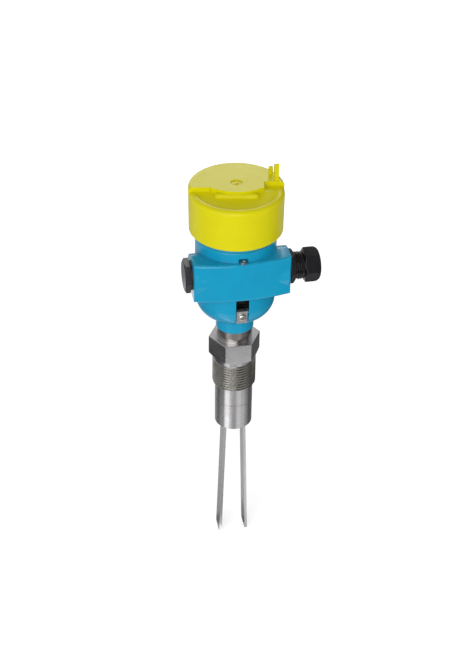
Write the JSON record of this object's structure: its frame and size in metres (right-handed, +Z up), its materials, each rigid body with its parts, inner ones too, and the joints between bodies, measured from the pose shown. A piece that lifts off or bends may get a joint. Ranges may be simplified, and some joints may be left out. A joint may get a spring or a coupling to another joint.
{
  "type": "tuning fork level switch",
  "caption": "Vibrating fork level switch: long tines on a threaded hexagon fitting, a rounded cast housing with a cable gland and a screw cover over the electronics.",
  "frame": {"origin": "on the fork's axis, at the upper end of the process thread", "axes": "+Z up along the fork's axis towards the cover, -Y to the front, +X towards the cable gland"},
  "size_m": [0.0987, 0.0679, 0.337],
  "materials": {
    "housing_paint": "gloss",
    "cover_plastic": "gloss",
    "black_nylon": "satin",
    "grey_nylon": "satin",
    "turned_steel": "turned and polished",
    "screw_steel": "plated",
    "seal_rubber": "matte",
    "plain_brass": "bright",
    "white_ceramic": "matte",
    "piezo_ceramic": "silvered",
    "wire_sleeve": "matte",
    "black_moulding": "matte",
    "green_moulding": "satin",
    "blue_moulding": "gloss",
    "white_moulding": "satin",
    "red_lens": "clear red"
  },
  "bodies": {
    "base": {"housing": "housing_paint", "lock_screw": "screw_steel", "blanking_plug": "grey_nylon", "plug_washer": "seal_rubber", "gland_body": "black_nylon", "gland_washer": "seal_rubber", "gland_seal": "seal_rubber", "ground_clamp": "screw_steel", "ground_washer": "screw_steel", "ground_screw": "screw_steel", "process_fitting": "turned_steel", "sensor_fork": "turned_steel", "neck_seal": "seal_rubber", "spigot_nut": "plain_brass", "drive_stud": "screw_steel", "lower_insulator": "white_ceramic", "piezo_discs": "piezo_ceramic", "electrodes": "plain_brass", "upper_insulator": "white_ceramic", "drive_nut": "screw_steel", "lead_wires": "wire_sleeve", "lead_plug": "black_moulding", "electronics_insert": "black_moulding", "insert_screws": "screw_steel", "terminal_block": "green_moulding", "terminal_screws": "screw_steel", "switch_case": "black_moulding", "trimmer_case": "blue_moulding", "status_lamp": "red_lens"},
    "cover_ring": {"cover_seal": "seal_rubber"},
    "cover": {"cover": "cover_plastic"},
    "gland_nut": {"gland_nut": "black_nylon"},
    "mode_slider": {"mode_slider": "white_moulding"},
    "trimmer_rotor": {"trimmer_rotor": "plain_brass"}
  },
  "joints": [
    {"name": "cover_lift", "type": "slide", "parent": "base", "child": "cover_ring", "axis": [0, 0, 1], "range_m": [0, 0.0121]},
    {"name": "cover_turn", "type": "hinge", "parent": "cover_ring", "child": "cover", "pos_m": [0, 0, 0.1135], "axis": [0, 0, 1], "range_deg": [0, 1440]},
    {"name": "gland_turn", "type": "hinge", "parent": "base", "child": "gland_nut", "pos_m": [0.0463, -0.015, 0.0865], "axis": [1, 0, 0], "range_deg": [0, 720]},
    {"name": "mode_slide", "type": "slide", "parent": "base", "child": "mode_slider", "axis": [1, 0, 0], "range_m": [0, 0.003]},
    {"name": "trimmer_turn", "type": "hinge", "parent": "base", "child": "trimmer_rotor", "pos_m": [0.009, 0.017, 0.1135], "axis": [0, 0, 1], "range_deg": [-135, 135]}
  ],
  "couplings": [
    {"joint": "cover_lift", "follows": "cover_turn", "m_per_rad": 0.00047746}
  ]
}
